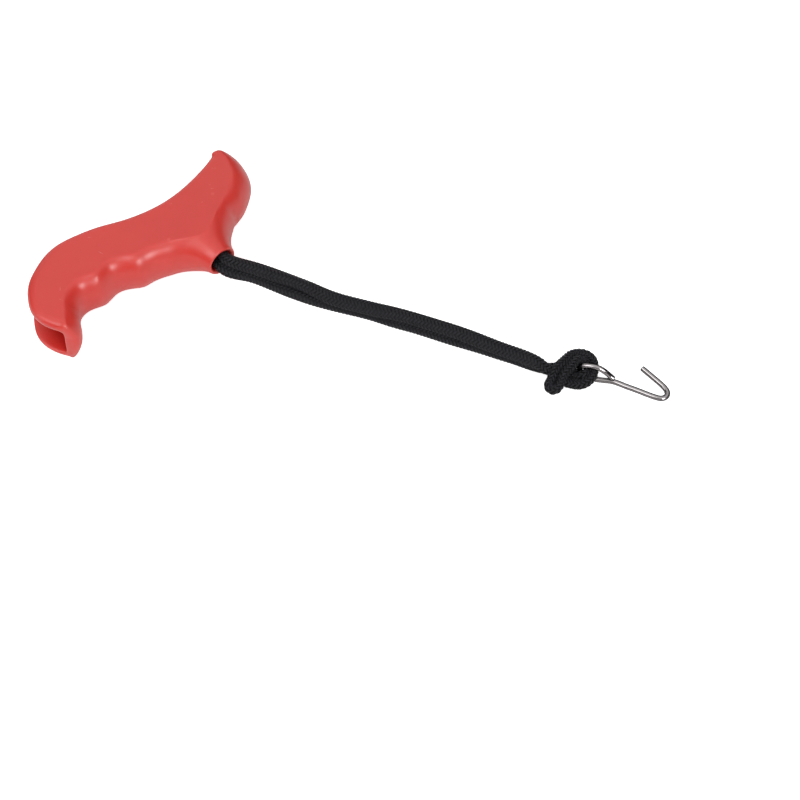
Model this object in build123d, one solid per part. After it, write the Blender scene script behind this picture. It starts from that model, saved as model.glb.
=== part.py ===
from build123d import *
import math
import os

os.makedirs("parts", exist_ok=True)

# Corded hook puller: a hollow handle, a doubled cord in hinged lengths and a wire hook. Millimetres.
# Origin: on the flat cheek the handle rests on, on the pull axis of the spout.
# +X runs along the spout, from the palm towards the hook. +Y runs towards the nose of the grip.
# +Z is up.

# ---------------------------------------------------------------- shared dimensions
THICK = 23.0             # handle, across the two flat cheeks
MID = THICK / 2          # height of the spout axis
SPOUT_X = 20.0           # mouth of the spout
CORD_R = 2.4             # one strand of cord
TRIM_ALLOWANCE = 1.5     # extra strand length beyond a hinge, before it is trimmed


# ---------------------------------------------------------------- helpers
def write(shape, name):
    shape.label = name
    export_step(shape, "parts/" + name + ".step")


def largest(shape):
    return max(shape.solids(), key=lambda solid: solid.volume)


def rod(start, direction, length, radius):
    cylinder = Cylinder(radius, length, align=(Align.CENTER, Align.CENTER, Align.MIN))
    return Plane(origin=start, z_dir=direction) * cylinder


def bar(start, end, radius):
    run = Vector(end) - Vector(start)
    return rod(start, run, run.length, radius)


def keep_ahead(shape, point, normal):
    return split(shape, bisect_by=Plane(origin=point, z_dir=normal), keep=Keep.TOP)


def keep_behind(shape, point, normal):
    return split(shape, bisect_by=Plane(origin=point, z_dir=normal), keep=Keep.BOTTOM)


# ---------------------------------------------------------------- handle
PALM_ROUND = 1.8         # rounding of the palm edges
BLEND_HEIGHT = 12.4      # half height of the ellipse that rounds the finger side
CAVITY_LOW = 4.3         # inner faces of the two cheeks
CAVITY_HIGH = THICK - CAVITY_LOW
WALL = 2.6               # finger-side wall
BORE_START_X = 2.0
BORE_LENGTH = 30.0
BORE_R = 5.2
FLARE_R = 6.45           # bore radius at the mouth
FLARE_DEPTH = 1.6
FLARE_OVERRUN = 0.1      # added to the flare's length and end radius, to cut through the mouth
NUB_X, NUB_Y = -22.2, -26.8
NUB_R = 0.9
NUB_PROUD = 0.8          # height above the inner face of the cheek
NUB_ROOT = 0.4           # depth sunk into the cheek

# Palm edge (x, y), from the notch behind the nose to the pommel tip.
PALM = [
    (-22.6, 30.3), (-20.8, 25.8), (-19.4, 20.6), (-18.3, 15.8), (-17.2, 9.6), (-16.6, 2.8),
    (-16.8, -3.4), (-17.6, -8.9), (-18.8, -14.2), (-20.3, -19.1), (-22.1, -23.7), (-24.2, -28.1),
    (-26.1, -32.6), (-27.6, -37.5), (-28.8, -42.7), (-30.0, -48.0), (-29.8, -54.5), (-29.0, -59.0),
    (-26.9, -64.8), (-24.1, -69.8), (-20.4, -74.1), (-15.5, -77.1), (-11.1, -79.4), (-6.0, -80.2),
    (-1.1, -79.6), (3.6, -77.8), (6.6, -76.0),
]
# Finger side, from the pommel tip to the lip of the nose:
# x, y of the outline at mid thickness, then x, y of the ridge that bounds the flat cheek beside it.
FINGER = [
    (8.5, -75.1, 7.8, -74.4), (10.6, -73.5, 7.6, -73.0), (11.3, -71.5, 6.0, -72.2),
    (10.0, -69.1, 2.6, -70.6), (7.1, -66.9, -0.8, -68.2), (3.4, -65.0, -4.0, -66.0),
    (0.4, -62.8, -6.2, -63.6), (-1.5, -60.8, -7.6, -60.6), (-2.7, -58.0, -8.4, -57.2),
    (-2.4, -55.1, -8.2, -54.2), (-0.9, -51.4, -7.4, -51.6), (-0.6, -48.6, -5.1, -47.8),
    (-1.4, -45.3, -6.3, -45.0), (-1.8, -41.7, -7.3, -41.2), (-0.9, -38.7, -6.8, -37.6),
    (1.1, -35.6, -5.3, -34.2), (3.3, -32.6, -3.3, -31.4), (4.1, -29.5, -2.1, -29.2),
    (4.3, -25.9, -1.7, -25.6), (5.3, -21.9, -0.5, -21.4), (7.2, -17.7, 1.2, -16.8),
    (8.4, -12.0, 3.8, -11.8), (9.2, -6.0, 6.8, -6.2), (9.6, 0.0, 8.8, -0.6),
    (9.2, 6.0, 6.8, 4.4), (8.4, 11.0, 4.0, 10.0), (7.2, 15.3, 1.8, 14.8),
    (5.4, 18.7, 0.0, 18.6), (4.6, 22.6, -1.8, 22.4), (3.6, 26.1, -4.0, 26.2),
    (1.2, 30.3, -6.8, 29.4), (-1.5, 34.1, -9.4, 31.4), (-4.2, 36.7, -11.6, 32.4),
    (-7.5, 38.5, -13.8, 33.2), (-11.4, 39.7, -16.1, 34.2), (-16.0, 40.3, -18.3, 34.6),
    (-20.5, 39.6, -20.4, 34.9), (-24.4, 37.6, -22.0, 35.0), (-25.8, 34.2, -23.2, 33.7),
    (-25.0, 31.0, -23.7, 31.3),
]
# Heights of the loft sections below mid thickness. Those above mirror them.
BODY_LEVELS = [0.0, 0.35, 0.9, PALM_ROUND, 4.2, 7.5]
CAVITY_LEVELS = [CAVITY_LOW, 7.5]
# Cavity corners (x, y) before and after the finger-side wall. Most lie outside the handle.
CAVITY_POMMEL = [(8.4, -85.0), (8.0, -70.6)]
CAVITY_PALM = [(-22.6, 31.6), (-30.0, 27.0), (-40.0, 0.0), (-42.0, -50.0), (-36.0, -85.0)]
# Spout sections behind the round mouth: x, half width along Y, half height.
SPOUT = [(3.0, 13.5, 10.6), (9.5, 11.0, 10.2), (14.5, 8.6, 8.4)]
SPOUT_R = 7.25           # outside radius at the mouth


def mirrored_levels(lower):
    return lower + [MID] + [THICK - z for z in reversed(lower)]


def palm_inset(z):
    depth = min(z, THICK - z)
    if depth >= PALM_ROUND:
        return 0.0
    return PALM_ROUND - math.sqrt(PALM_ROUND**2 - (PALM_ROUND - depth) ** 2)


def inset(points, distance):
    # Moves an open polyline to the left of its direction of travel.
    moved = []
    for i, (x, y) in enumerate(points):
        before, after = points[max(i - 1, 0)], points[min(i + 1, len(points) - 1)]
        dx, dy = after[0] - before[0], after[1] - before[1]
        length = math.hypot(dx, dy)
        moved.append((x - dy / length * distance, y + dx / length * distance))
    return moved


def finger_points(z):
    # The blend is 0 at mid thickness and 1 at the cheek: steep at the ridge, rounding out to
    # the outline.
    def drop(height):
        return 1 - math.sqrt(1 - (height / BLEND_HEIGHT) ** 2)

    blend = drop(abs(z - MID)) / drop(MID)
    return [(mid_x + blend * (ridge_x - mid_x), mid_y + blend * (ridge_y - mid_y))
            for mid_x, mid_y, ridge_x, ridge_y in FINGER]


def at_height(points, z):
    return [Vector(x, y, z) for x, y in points]


def body_wire(z):
    palm = at_height(inset(PALM, palm_inset(z)), z)
    finger = at_height(finger_points(z), z)
    return Wire([Spline(palm), Line(palm[-1], finger[0]), Spline(finger), Line(finger[-1], palm[0])])


def cavity_wire(z):
    # The three points at each end of the finger side are left solid.
    outline = CAVITY_POMMEL + inset(finger_points(z)[3:-3], WALL) + CAVITY_PALM
    return Wire(Polyline(at_height(outline + outline[:1], z)).edges())


def spout_plane(x):
    return Plane(origin=(x, 0.0, MID), x_dir=(0, 1, 0), z_dir=(1, 0, 0))


def make_spout():
    # Runs out of the finger wall and narrows to a round mouth.
    sections = [spout_plane(x) * Ellipse(half_width, half_height)
                for x, half_width, half_height in SPOUT]
    return loft(sections + [spout_plane(SPOUT_X) * Circle(SPOUT_R)])


def make_handle():
    # The cavity is open along the whole palm side and round the pommel.
    # True makes both lofts ruled.
    body = Solid.make_loft([body_wire(z) for z in mirrored_levels(BODY_LEVELS)], True)
    handle = Part() + body + make_spout()
    cavity = Solid.make_loft([cavity_wire(z) for z in mirrored_levels(CAVITY_LEVELS)], True)
    bore = rod((BORE_START_X, 0.0, MID), (1, 0, 0), BORE_LENGTH, BORE_R)
    flare = Plane(origin=(SPOUT_X - FLARE_DEPTH, 0.0, MID), z_dir=(1, 0, 0)) * Cone(
        BORE_R, FLARE_R + FLARE_OVERRUN, FLARE_DEPTH + FLARE_OVERRUN,
        align=(Align.CENTER, Align.CENTER, Align.MIN))
    handle = handle - cavity - bore - flare
    # A small nub on the inner face of each cheek, beside the palm opening.
    shift = (NUB_PROUD - NUB_ROOT) / 2
    for z in (CAVITY_HIGH - shift, CAVITY_LOW + shift):
        handle = handle + Pos(NUB_X, NUB_Y, z) * Cylinder(NUB_R, NUB_PROUD + NUB_ROOT)
    return largest(handle)


# ---------------------------------------------------------------- doubled cord
PAIR_GAP = 2.45          # half the distance between the two strands
BEND_LIMIT = 45.0        # swing of each hinge, degrees
HINGE_GAP = 0.06         # clearance on each side of a hinge

# Mean line of the doubled cord, from the mouth of the spout: x, y, z.
CORD = [
    (SPOUT_X, 0.0, MID), (31.83, 5.55, 10.97), (36.72, 8.24, 10.48), (42.22, 10.94, 9.81),
    (48.61, 14.0, 8.92), (54.83, 17.19, 8.0), (61.8, 20.87, 6.97), (68.93, 24.98, 6.03),
    (75.76, 29.36, 5.4), (82.75, 33.58, 5.1), (90.39, 37.76, 5.0), (98.51, 42.03, 4.95),
    (106.73, 46.12, 4.9), (115.01, 50.11, 4.9), (123.37, 53.93, 4.9), (131.75, 57.65, 4.9),
    (140.04, 61.4, 4.9), (146.44, 63.97, 4.9), (151.29, 65.65, 4.9), (154.43, 66.66, 4.9),
]
# Roll of the pair about the mean line: distance from the mouth, degrees.
# 90 has one strand above the other.
ROLL = [(0, 85), (20, 85), (40, 72), (60, 100), (80, 90), (100, 85), (120, 94), (150, 104)]
# Hinges: distance from the mouth, then "side" to swing in plan or "up" to swing in height.
HINGES = [(0.0, "side"), (14.0, "up"), (34.0, "side"), (56.0, "up"),
          (78.0, "side"), (100.0, "up"), (124.0, "side"), (147.2, "up")]

CORD_LINE = Spline([Vector(*point) for point in CORD],
                   tangents=[Vector(1, 0, 0), Vector(0.95, 0.31, 0)])


def point_and_tangent(distance):
    fraction = distance / CORD_LINE.length
    return CORD_LINE @ fraction, (CORD_LINE % fraction).normalized()


def side_and_up(direction):
    # Level and upward directions square to a unit direction.
    side = Vector(-direction.Y, direction.X, 0).normalized()
    return side, direction.cross(side)


def pair_offset(direction, distance):
    # From the mean line to the first strand. The roll eases between its stations.
    (start, start_roll), (end, end_roll) = next(
        span for span in zip(ROLL, ROLL[1:]) if distance <= span[1][0])
    ratio = (distance - start) / (end - start)
    ease = ratio * ratio * (3 - 2 * ratio)
    roll = math.radians(start_roll + ease * (end_roll - start_roll))
    side, up = side_and_up(direction)
    return (side * math.cos(roll) + up * math.sin(roll)) * PAIR_GAP


def trim(shape, hinge, after):
    # Cuts an end to a shallow wedge, so that the pieces on the two sides of a hinge can turn
    # without meeting. after=True keeps the part beyond the hinge.
    distance, swing = hinge
    point, tangent = point_and_tangent(distance)
    side, up = side_and_up(tangent)
    axis = Axis((0, 0, 0), up if swing == "side" else side)
    for sign in (-1, 1):
        normal = tangent.rotate(axis, sign * BEND_LIMIT / 2)
        if after:
            shape = keep_ahead(shape, point + normal * HINGE_GAP, normal)
        else:
            shape = keep_behind(shape, point - normal * HINGE_GAP, normal)
    return shape


def make_cord_length(first, last):
    # Two straight strands from one hinge to the next.
    start, end = point_and_tangent(first[0])[0], point_and_tangent(last[0])[0]
    run = (end - start).normalized()
    offset = pair_offset(run, (first[0] + last[0]) / 2)
    extra = run * TRIM_ALLOWANCE
    strands = []
    for sign in (1, -1):
        strand = bar(start + offset * sign - extra, end + offset * sign + extra, CORD_R)
        strand = trim(strand, first, after=True)
        strands.append(largest(trim(strand, last, after=False)))
    return Compound(children=strands)


# ---------------------------------------------------------------- stopper knot and cord in the spout
STOPPER_X = 2.2
STOPPER_R = 6.3
STOPPER_GAP = 0.1        # between the knot and the strands in the bore
TAIL_BACK = 3.0          # start of the cut ends, behind the knot's centre
TAIL_LENGTH = 9.0
# Short cut ends: y, z of the start, then the lean in Y for each unit towards -X.
TAILS = [(2.2, MID + 1.2, 0.25), (-2.4, MID - 0.8, -0.2)]


def make_cord_in_spout():
    # From the stopper knot to the mouth.
    mouth, tangent = point_and_tangent(0.0)
    start_x = STOPPER_X + STOPPER_R + STOPPER_GAP
    strands = []
    for sign in (1, -1):
        centre = mouth + pair_offset(tangent, 0.0) * sign
        strand = rod((start_x, centre.Y, centre.Z), (1, 0, 0),
                     SPOUT_X + TRIM_ALLOWANCE - start_x, CORD_R)
        strands.append(largest(trim(strand, HINGES[0], after=False)))
    return Compound(children=strands)


def make_stopper_knot():
    knot = Part() + Pos(STOPPER_X, 0, MID) * Sphere(STOPPER_R)
    for y, z, lean in TAILS:
        knot = knot + rod((STOPPER_X - TAIL_BACK, y, z), (-1, lean, 0), TAIL_LENGTH, CORD_R)
    return largest(knot)


# ---------------------------------------------------------------- hook knot
RING_CENTRE = (163.5, 76.9, 4.95)
RING_R = 5.3
RING_CORD_R = 2.38
LUMP_CENTRE = (160.2, 69.9, 5.3)
LUMP_R = 5.2
FOLD_CENTRE = (161.2, 63.6, 5.2)
FOLD_R = 3.6
FOLD_NECK_R = FOLD_R - 0.25
ENTRY_START = (148.0, 64.5, 4.9)
ENTRY_R = RING_CORD_R + 1.4


def make_hook_knot():
    # A ring of cord through the hook's eye, a lump where the doubled cord crosses itself, the
    # folded end, and the cord that enters from the last hinge.
    knot = Pos(*RING_CENTRE) * Torus(RING_R, RING_CORD_R)
    knot = knot + Pos(*LUMP_CENTRE) * Sphere(LUMP_R)
    knot = knot + bar(LUMP_CENTRE, FOLD_CENTRE, FOLD_NECK_R)
    knot = knot + Pos(*FOLD_CENTRE) * Sphere(FOLD_R)
    knot = knot + bar(ENTRY_START, LUMP_CENTRE, ENTRY_R)
    return largest(trim(knot, HINGES[-1], after=True))


# ---------------------------------------------------------------- wire hook
WIRE_R = 1.08
# Line of the wire (x, y, z), from the cut tip round the bend, up the shank and round the eye.
WIRE = [
    (180.38, 98.21, 1.1), (188.35, 97.99, 1.1), (193.34, 97.45, 1.1), (195.54, 96.51, 1.1),
    (196.31, 94.45, 1.1), (195.53, 92.77, 1.1), (193.51, 91.57, 1.1), (176.58, 84.27, 1.1),
    (173.99, 81.76, 1.1), (171.24, 79.73, 1.1), (167.84, 78.38, 1.3), (164.62, 77.45, 2.6),
    (163.41, 76.91, 5.0), (164.24, 77.43, 7.6), (166.75, 79.42, 9.1), (169.91, 81.0, 8.8),
    (172.43, 82.34, 6.9), (174.61, 83.58, 4.4), (176.05, 83.82, 3.5),
]


def make_wire_hook():
    # Straight bars with a mitre at each bend and square-cut ends.
    points = [Vector(*point) for point in WIRE]
    runs = [(end - start).normalized() for start, end in zip(points, points[1:])]
    hook = None
    for i, run in enumerate(runs):
        start, end = points[i], points[i + 1]
        first, last = i == 0, i == len(runs) - 1
        overlap = run * (WIRE_R * 2)
        piece = bar(start if first else start - overlap, end if last else end + overlap, WIRE_R)
        if not first:
            piece = keep_ahead(piece, start, (run + runs[i - 1]).normalized())
        if not last:
            piece = keep_behind(piece, end, (run + runs[i + 1]).normalized())
        hook = piece if hook is None else hook + piece
    return largest(hook)


# ---------------------------------------------------------------- pieces
write(make_handle(), "handle")
for number, (first, last) in enumerate(zip(HINGES, HINGES[1:]), start=1):
    write(make_cord_length(first, last), f"cord_length_{number}")
write(make_cord_in_spout(), "cord_in_spout")
write(make_stopper_knot(), "stopper_knot")
write(make_hook_knot(), "hook_knot")
write(make_wire_hook(), "wire_hook")
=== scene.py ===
"""A red moulded handle with a doubled black braided cord and a bent wire hook.

Shapes are in millimetres. The product lies on the floor (z = 0). The handle is long in y, with
its flat cheeks facing up and down and its mid-plane at z = MID. The palm side faces -x. A spout
on the finger side faces +x, and the cord runs from it towards +x and +y, down to the floor and
on to the hook.
"""
import bpy
import math
import numpy as np
from collections import namedtuple
from mathutils import Matrix, Vector


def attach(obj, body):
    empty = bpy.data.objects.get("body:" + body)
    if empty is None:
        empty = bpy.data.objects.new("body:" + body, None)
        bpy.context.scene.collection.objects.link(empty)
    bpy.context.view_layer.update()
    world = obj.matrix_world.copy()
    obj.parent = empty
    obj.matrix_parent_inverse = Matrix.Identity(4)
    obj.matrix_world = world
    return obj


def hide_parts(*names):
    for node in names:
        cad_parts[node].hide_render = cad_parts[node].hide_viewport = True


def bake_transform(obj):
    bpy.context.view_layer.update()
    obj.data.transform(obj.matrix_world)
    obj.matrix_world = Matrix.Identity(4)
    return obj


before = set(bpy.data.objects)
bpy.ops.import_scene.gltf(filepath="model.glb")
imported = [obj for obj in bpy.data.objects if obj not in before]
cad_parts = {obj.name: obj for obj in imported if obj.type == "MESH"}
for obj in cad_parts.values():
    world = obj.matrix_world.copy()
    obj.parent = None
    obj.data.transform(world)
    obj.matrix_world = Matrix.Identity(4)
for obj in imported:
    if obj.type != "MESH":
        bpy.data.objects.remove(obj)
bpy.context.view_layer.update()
MM = 0.001
FULL_TURN = 2 * math.pi

MID = 11.5              # height of the handle's mid-plane; also half its thickness
SPOUT_END = 20.0        # x of the spout's mouth, where distances along the cord start

# ------------------------------------------------------------------ curves and vectors


def lengths(points):
    """Distance along a line of points."""
    return np.r_[0, np.cumsum(np.linalg.norm(np.diff(points[:, :3], axis=0), axis=1))]


def natural_spline(rows, per_span):
    """Dense rows of a natural cubic; the first three columns are x, y, z."""
    rows = np.asarray(rows, float)
    span = np.diff(lengths(rows))
    count = len(rows)
    matrix = np.zeros((count, count))
    target = np.zeros((count, rows.shape[1]))
    matrix[0, 0] = matrix[-1, -1] = 1
    for i in range(1, count - 1):
        matrix[i, i - 1:i + 2] = span[i - 1], 2 * (span[i - 1] + span[i]), span[i]
        target[i] = 6 * ((rows[i + 1] - rows[i]) / span[i] - (rows[i] - rows[i - 1]) / span[i - 1])
    bend = np.linalg.solve(matrix, target)
    out = []
    for i in range(count - 1):
        h = span[i]
        past = np.linspace(0, h, per_span, endpoint=(i == count - 2))[:, None]
        left = h - past
        out.append(bend[i] * left**3 / (6 * h) + bend[i + 1] * past**3 / (6 * h)
                   + (rows[i] / h - bend[i] * h / 6) * left
                   + (rows[i + 1] / h - bend[i + 1] * h / 6) * past)
    return np.vstack(out)


def catmull_rom(points, per_span):
    rows = np.asarray(points, float)
    padded = np.vstack([2 * rows[0] - rows[1], rows, 2 * rows[-1] - rows[-2]])
    out = []
    t = np.linspace(0, 1, per_span, endpoint=False)[:, None]
    for i in range(1, len(padded) - 2):
        a, b, c, d = padded[i - 1:i + 3]
        out.append(0.5 * (2 * b + (c - a) * t + (2 * a - 5 * b + 4 * c - d) * t**2
                          + (3 * b - a - 3 * c + d) * t**3))
    out.append(rows[-1:])
    return np.vstack(out)


def relax(points, times):
    """Softens a line, keeping its ends."""
    line = points.copy()
    for _ in range(times):
        line[1:-1] = 0.25 * line[:-2] + 0.5 * line[1:-1] + 0.25 * line[2:]
    return line


def resample(wanted, stations, values):
    if values.ndim == 1:
        return np.interp(wanted, stations, values)
    return np.stack([np.interp(wanted, stations, column) for column in values.T], 1)


def unit(vectors):
    return vectors / np.maximum(np.linalg.norm(vectors, axis=-1, keepdims=True), 1e-12)


def carried_normals(tangents, start):
    """Carries a direction along a curve without twist, kept square to each tangent."""
    normals = np.zeros_like(tangents)
    current = np.array(start, float)
    for k, tangent in enumerate(tangents):
        current = unit(current - tangent * (current @ tangent))
        normals[k] = current
    return normals


def signed_power(values, power):
    return np.sign(values) * np.abs(values) ** power


def round_angles(count):
    return np.arange(count) * FULL_TURN / count


# ------------------------------------------------------------------ meshes


def make_mesh(name, verts, quads, material, uv=None, tris=None):
    """A smooth-shaded object; uv is given per vertex."""
    mesh = bpy.data.meshes.new(name)
    coords = np.asarray(verts, float) * MM
    tris = np.zeros((0, 3), np.int64) if tris is None else tris
    loops = np.r_[quads.ravel(), tris.ravel()]
    starts = np.r_[np.arange(len(quads)) * 4, len(quads) * 4 + np.arange(len(tris)) * 3]
    totals = np.r_[np.full(len(quads), 4), np.full(len(tris), 3)]
    mesh.vertices.add(len(coords))
    mesh.vertices.foreach_set("co", coords.astype(np.float32).ravel())
    mesh.loops.add(len(loops))
    mesh.loops.foreach_set("vertex_index", loops.astype(np.int32))
    mesh.polygons.add(len(starts))
    mesh.polygons.foreach_set("loop_start", starts.astype(np.int32))
    mesh.polygons.foreach_set("loop_total", totals.astype(np.int32))
    mesh.polygons.foreach_set("use_smooth", np.full(len(starts), True))
    if uv is not None:
        layer = mesh.uv_layers.new(name="UVMap")
        layer.data.foreach_set("uv", np.asarray(uv, np.float32)[loops].ravel())
    mesh.update(calc_edges=True)
    mesh.validate()
    mesh.materials.append(material)
    obj = bpy.data.objects.new(name, mesh)
    bpy.context.scene.collection.objects.link(obj)
    return obj


class TubeMesh:
    """Collects capped tubes into one mesh, with UVs and a "lift" value per vertex."""

    def __init__(self):
        self.verts, self.quads, self.tris, self.uvs, self.lifts = [], [], [], [], []
        self.count = 0

    def tube(self, rings, along=None, lift=None):
        """rings (n, m, 3): m points round each of n rings; along (n) is the U coordinate.

        Faces point outwards when the points run counter-clockwise seen from the far end.
        """
        n, m = rings.shape[:2]
        if along is None:
            along = lengths(rings.mean(1))
        index = self.count + np.arange(n * m).reshape(n, m)
        after = np.roll(index, -1, axis=1)
        self.verts.append(rings.reshape(-1, 3))
        self.lifts.append(np.zeros(n * m) if lift is None else lift.reshape(-1))
        quads = np.stack([index[:-1], after[:-1], after[1:], index[1:]], -1)
        self.quads.append(quads.reshape(-1, 4))
        self.uvs.append(np.stack([np.repeat(along, m), np.tile(np.arange(m) / m, n)], 1))
        self.count += n * m
        for ring in (0, n - 1):
            self.verts.append(rings[ring].mean(0)[None])
            self.lifts.append(np.zeros(1))
            self.uvs.append(np.array([[along[ring], 0.5]]))
            edge = (after[ring], index[ring]) if ring == 0 else (index[ring], after[ring])
            self.tris.append(np.stack([*edge, np.full(m, self.count)], 1))
            self.count += 1

    def make(self, name, material):
        obj = make_mesh(name, np.vstack(self.verts), np.vstack(self.quads), material,
                        np.vstack(self.uvs), np.vstack(self.tris))
        layer = obj.data.attributes.new("lift", "FLOAT", "POINT")
        layer.data.foreach_set("value", np.concatenate(self.lifts).astype(np.float32))
        return obj


# ------------------------------------------------------------------ materials


class Nodes:
    """Short ways to add shader nodes to the tree of a material or world."""

    def __init__(self, owner, output):
        self.owner = owner
        owner.use_nodes = True
        self.tree = owner.node_tree
        self.tree.nodes.clear()
        self.output = self.add(output)

    def add(self, kind, inputs=None, **properties):
        """inputs maps a socket's name or number to a value, or to a socket to link from."""
        node = self.tree.nodes.new("ShaderNode" + kind)
        for name, value in properties.items():
            setattr(node, name, value)
        for key, value in (inputs or {}).items():
            if isinstance(value, bpy.types.NodeSocket):
                self.tree.links.new(value, node.inputs[key])
            else:
                node.inputs[key].default_value = value
        return node

    def finish(self, shader):
        self.tree.links.new(shader.outputs[0], self.output.inputs["Surface"])
        return self.owner

    def math(self, operation, *values, clamp=False):
        node = self.add("Math", dict(enumerate(values)), operation=operation, use_clamp=clamp)
        return node.outputs[0]

    def plus(self, first, second):
        return self.math("ADD", first, second)

    def scaled(self, value, gain, offset=None):
        product = self.math("MULTIPLY", value, gain)
        return product if offset is None else self.plus(product, offset)

    def mix(self, factor, low, high):
        node = self.add("Mix", {"Factor": factor, "A": low, "B": high}, data_type="RGBA")
        return node.outputs["Result"]

    def ramp(self, factor, stops):
        """stops are (position, grey level)."""
        node = self.add("ValToRGB", {"Fac": factor})
        elements = node.color_ramp.elements
        while len(elements) < len(stops):
            elements.new(0.5)
        for element, (position, grey) in zip(elements, stops):
            element.position = position
            element.color = (grey, grey, grey, 1)
        return node.outputs["Color"]

    def coords(self, kind="Object"):
        return self.add("TexCoord").outputs[kind]

    def noise(self, vector, scale, detail, roughness=0.5):
        return self.add("TexNoise", {"Vector": vector, "Scale": scale, "Detail": detail,
                                     "Roughness": roughness}).outputs["Fac"]

    def split(self, vector):
        return self.add("SeparateXYZ", {"Vector": vector}).outputs

    def bump(self, height, strength, distance):
        return self.add("Bump", {"Height": height, "Strength": strength,
                                 "Distance": distance}).outputs["Normal"]


def material_nodes(name):
    return Nodes(bpy.data.materials.new(name), "OutputMaterial")


# short scuffs on the upper cheek: x, y, turn (radians), length and thickness of the spot
SCUFFS = [
    (-7.6, 17.3, 1.0, 1.6, 0.22), (-9.4, 19.0, 1.3, 0.9, 0.20), (-15.7, 26.1, 0.8, 1.0, 0.22),
    (-12.2, -39.5, 0.2, 2.2, 0.20), (-22.6, -38.0, 0.9, 1.3, 0.20), (-8.6, -64.1, 2.4, 1.5, 0.22),
    (-4.6, -66.9, 0.4, 1.3, 0.20), (-13.0, -0.2, 1.4, 1.2, 0.20), (-4.2, 9.6, 1.5, 1.5, 0.20),
    (8.0, -73.3, 0.5, 1.0, 0.30), (6.4, -30.5, 1.1, 0.8, 0.22),
]
SCUFF_REACH = 1.3         # a spot fades to nothing at this many times its size
SCUFFS_ABOVE = 0.0112     # metres; only the upper half is scuffed


def scuff_mask(nodes, place):
    """Small stretched spots broken up by noise."""
    crumble = nodes.noise(place, scale=1500.0, detail=2.0)
    broken = nodes.ramp(crumble, stops=[(0.0, 0.0), (0.46, 0.0), (0.56, 1.0)])
    scuff = None
    for x, y, turn, long_, thin in SCUFFS:
        moved = nodes.add("VectorMath", {0: place, 1: (x * MM, y * MM, 0.0)}, operation="SUBTRACT")
        turned = nodes.add("VectorRotate", {"Vector": moved.outputs[0], "Angle": -turn},
                           rotation_type="Z_AXIS")
        shrunk = nodes.add("VectorMath", {0: turned.outputs[0], 1: (1 / MM / long_, 1 / MM / thin, 0.0)},
                           operation="MULTIPLY")
        away = nodes.add("VectorMath", {0: shrunk.outputs[0]}, operation="LENGTH")
        spot = nodes.math("SUBTRACT", SCUFF_REACH, away.outputs["Value"], clamp=True)
        scuff = spot if scuff is None else nodes.math("MAXIMUM", scuff, spot)
    scuff = nodes.scaled(scuff, broken)
    upper = nodes.math("GREATER_THAN", nodes.split(place)["Z"], SCUFFS_ABOVE)
    return nodes.scaled(scuff, upper)


def red_plastic():
    nodes = material_nodes("red_moulded_plastic")
    geometry = nodes.add("NewGeometry")
    place = nodes.coords()
    mottle = nodes.noise(place, scale=55.0, detail=3.0)
    tone = nodes.mix(mottle, low=(0.600, 0.033, 0.024, 1), high=(0.655, 0.043, 0.032, 1))
    # painted highlight: rims and ridges are painted a little paler, standing in for the thin highlight
    # lines along them
    ridge_highlight = nodes.ramp(geometry.outputs["Pointiness"], stops=[(0.0, 0.0), (0.515, 0.0), (0.56, 1.0)])
    tone = nodes.mix(nodes.scaled(ridge_highlight, gain=0.22), low=tone, high=(0.80, 0.16, 0.13, 1))
    scuff = scuff_mask(nodes, place)
    tone = nodes.mix(nodes.scaled(scuff, gain=0.35), low=tone, high=(0.86, 0.36, 0.33, 1))
    rough = nodes.scaled(nodes.noise(place, scale=240.0, detail=4.0), gain=0.10, offset=0.28)
    rough = nodes.plus(rough, nodes.scaled(scuff, gain=0.15))
    grain = nodes.noise(place, scale=2600.0, detail=3.0)
    wave = nodes.noise(place, scale=120.0, detail=2.0)
    height = nodes.plus(nodes.scaled(grain, gain=0.012), nodes.scaled(wave, gain=0.06))
    height = nodes.math("SUBTRACT", height, nodes.scaled(scuff, gain=0.02))
    normal = nodes.bump(height, strength=0.35, distance=0.001)
    # painted shade: places sheltered from light, found by ambient occlusion, are painted deeper red and
    # given less coat and specular
    occlusion_shade = nodes.add("AmbientOcclusion", {"Distance": 0.022}, samples=6, only_local=True)
    unshaded = nodes.ramp(occlusion_shade.outputs["AO"], stops=[(0.0, 0.0), (0.36, 0.0), (0.76, 1.0)])
    tone = nodes.mix(unshaded, low=(0.46, 0.006, 0.004, 1), high=tone)
    return nodes.finish(nodes.add("BsdfPrincipled", {
        "Base Color": tone,
        "Roughness": rough,
        "Normal": normal,
        "Coat Weight": nodes.scaled(unshaded, gain=0.50),
        "Specular IOR Level": nodes.scaled(unshaded, gain=0.35, offset=0.15),
        "Subsurface Weight": 0.22,
        "Subsurface Radius": (1.0, 0.18, 0.12),
        "Subsurface Scale": 0.0022,
        "Coat Roughness": 0.38,
    }))


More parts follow.
